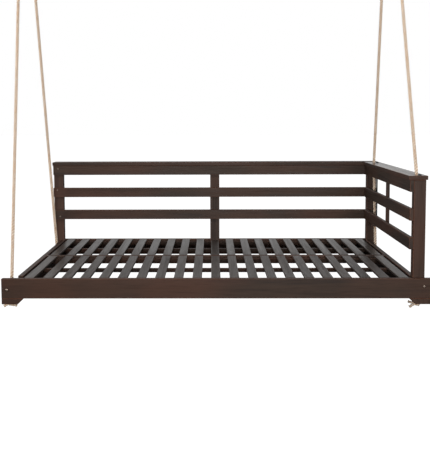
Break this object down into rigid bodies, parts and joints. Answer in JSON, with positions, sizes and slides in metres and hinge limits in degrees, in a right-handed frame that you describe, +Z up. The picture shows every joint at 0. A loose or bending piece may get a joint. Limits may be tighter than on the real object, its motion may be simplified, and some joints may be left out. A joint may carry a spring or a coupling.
{
  "type": "porch swing",
  "caption": "Hanging day-bed porch swing: slatted seat in two panels, low railed back, one arm, ropes to ceiling eyes.",
  "frame": {"origin": "on the ceiling plane, midway between the two ceiling eyes", "axes": "+X to the sitter's left-hand arm end as seen from the front (the viewer's right), +Y to the rear (the back), +Z up"},
  "size_m": [2.1285, 1.093, 2.4377],
  "materials": {
    "frame_wood": "dark brown stain, satin",
    "slat_wood": "dark brown stain, satin, fine lengthwise grain",
    "rope": "three-strand beige rope with brown flecks",
    "black_steel": "black powder coat",
    "zinc_steel": "zinc plated"
  },
  "bodies": {
    "ceiling_fittings": {"left_ceiling_plate": "black_steel", "left_ceiling_eye": "zinc_steel", "right_ceiling_plate": "black_steel", "right_ceiling_eye": "zinc_steel"},
    "swing": {"arm_bolt_cleat": "frame_wood", "arm_cap": "frame_wood", "arm_front_bolt": "black_steel", "arm_front_post": "frame_wood", "arm_lower_rail": "frame_wood", "arm_middle_rail": "frame_wood", "arm_middle_stile": "frame_wood", "arm_rear_bolt": "black_steel", "arm_top_rail": "frame_wood", "back_cap": "frame_wood", "back_lower_rail": "frame_wood", "back_middle_rail": "frame_wood", "back_top_rail": "frame_wood", "front_beam": "frame_wood", "front_beam_ledger": "frame_wood", "front_left_corner_block": "frame_wood", "front_mid_rail": "frame_wood", "front_slat_panel": "slat_wood", "left_beam_bolt": "zinc_steel", "left_cross_member": "frame_wood", "left_front_ring_loop": "rope", "left_front_rope": "rope", "left_front_rope_knot": "rope", "left_rear_ring_loop": "rope", "left_rear_rope": "rope", "left_rear_rope_knot": "rope", "left_ring": "zinc_steel", "left_side_rail": "frame_wood", "rear_beam": "frame_wood", "rear_beam_ledger_left": "frame_wood", "rear_beam_ledger_right": "frame_wood", "rear_left_post": "frame_wood", "rear_mid_ledger": "frame_wood", "rear_mid_rail": "frame_wood", "rear_middle_post": "frame_wood", "rear_right_post": "frame_wood", "rear_slat_panel": "slat_wood", "right_beam_bolt": "zinc_steel", "right_cross_member": "frame_wood", "right_front_ring_loop": "rope", "right_front_rope": "rope", "right_front_rope_knot": "rope", "right_rear_ring_loop": "rope", "right_rear_rope": "rope", "right_rear_rope_knot": "rope", "right_ring": "zinc_steel", "right_side_rail": "frame_wood"}
  },
  "joints": [
    {"name": "swing", "type": "hinge", "parent": "ceiling_fittings", "child": "swing", "pos_m": [0, 0, -0.0493], "axis": [1, 0, 0], "range_deg": [-25, 25]}
  ]
}
